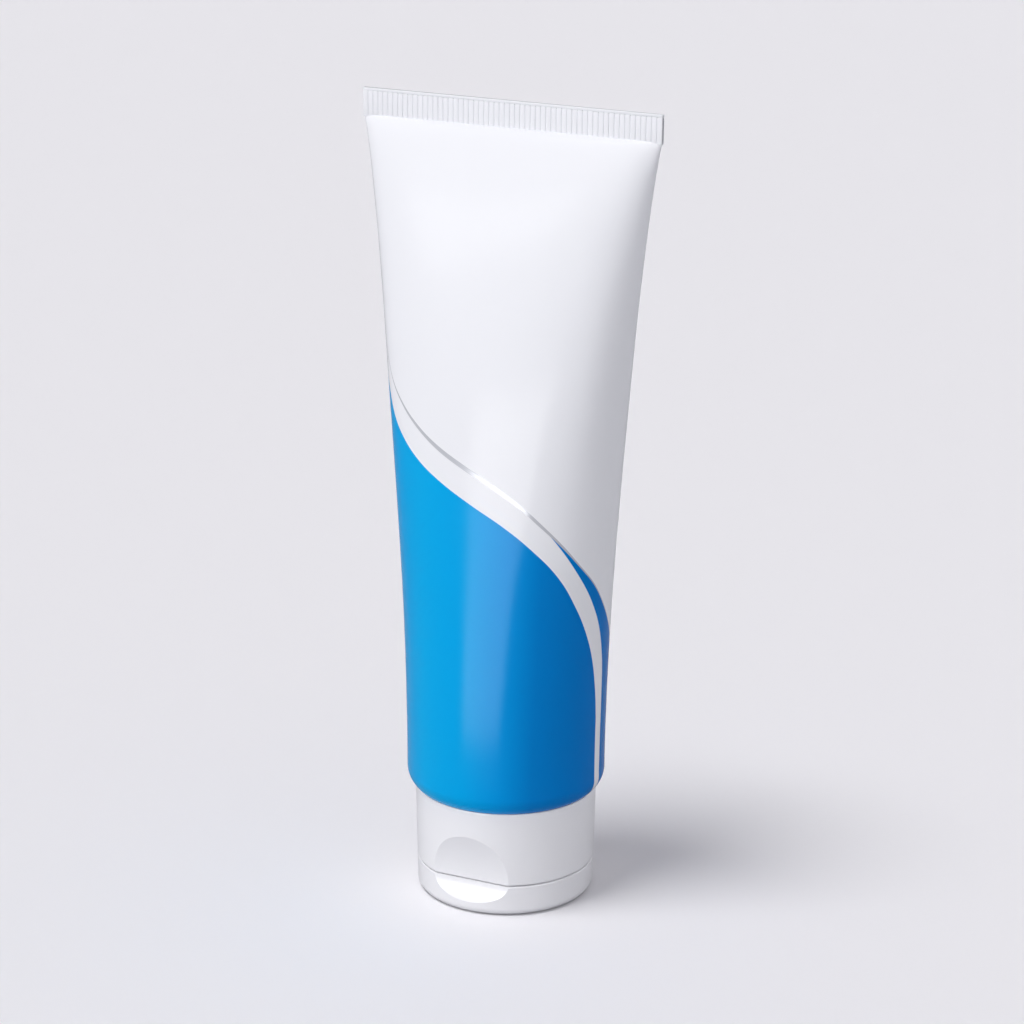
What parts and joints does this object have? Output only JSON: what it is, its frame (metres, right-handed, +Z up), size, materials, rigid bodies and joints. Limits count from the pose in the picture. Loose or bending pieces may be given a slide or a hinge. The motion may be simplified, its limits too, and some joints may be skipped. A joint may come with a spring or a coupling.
{
  "type": "toothpaste tube",
  "caption": "Full squeeze tube of toothpaste with a ribbed flat crimp, standing on a push-on flip-top cap whose lid swings open on a living hinge.",
  "frame": {"origin": "centre of the lid's flat face, on the surface that the tube stands on", "axes": "+Z up towards the crimp, X along the crimp, thumb scoop facing -Y, lid hinge at +Y"},
  "size_m": [0.0628, 0.04, 0.1616],
  "materials": {
    "laminate": "glossy white laminate printed with a blue wave",
    "shoulder_plastic": "moulded white plastic",
    "paste": "smooth wet paste",
    "cap_plastic": "smooth moulded white plastic"
  },
  "bodies": {
    "tube": {"tube_sleeve": "laminate", "tube_shoulder": "shoulder_plastic", "toothpaste": "paste", "cap_base": "cap_plastic"},
    "lid": {"cap_lid": "cap_plastic"}
  },
  "joints": [
    {"name": "lid_hinge", "type": "hinge", "parent": "tube", "child": "lid", "pos_m": [0, 0.01888, 0.0066], "axis": [1, 0, 0], "range_deg": [0, 180]}
  ]
}
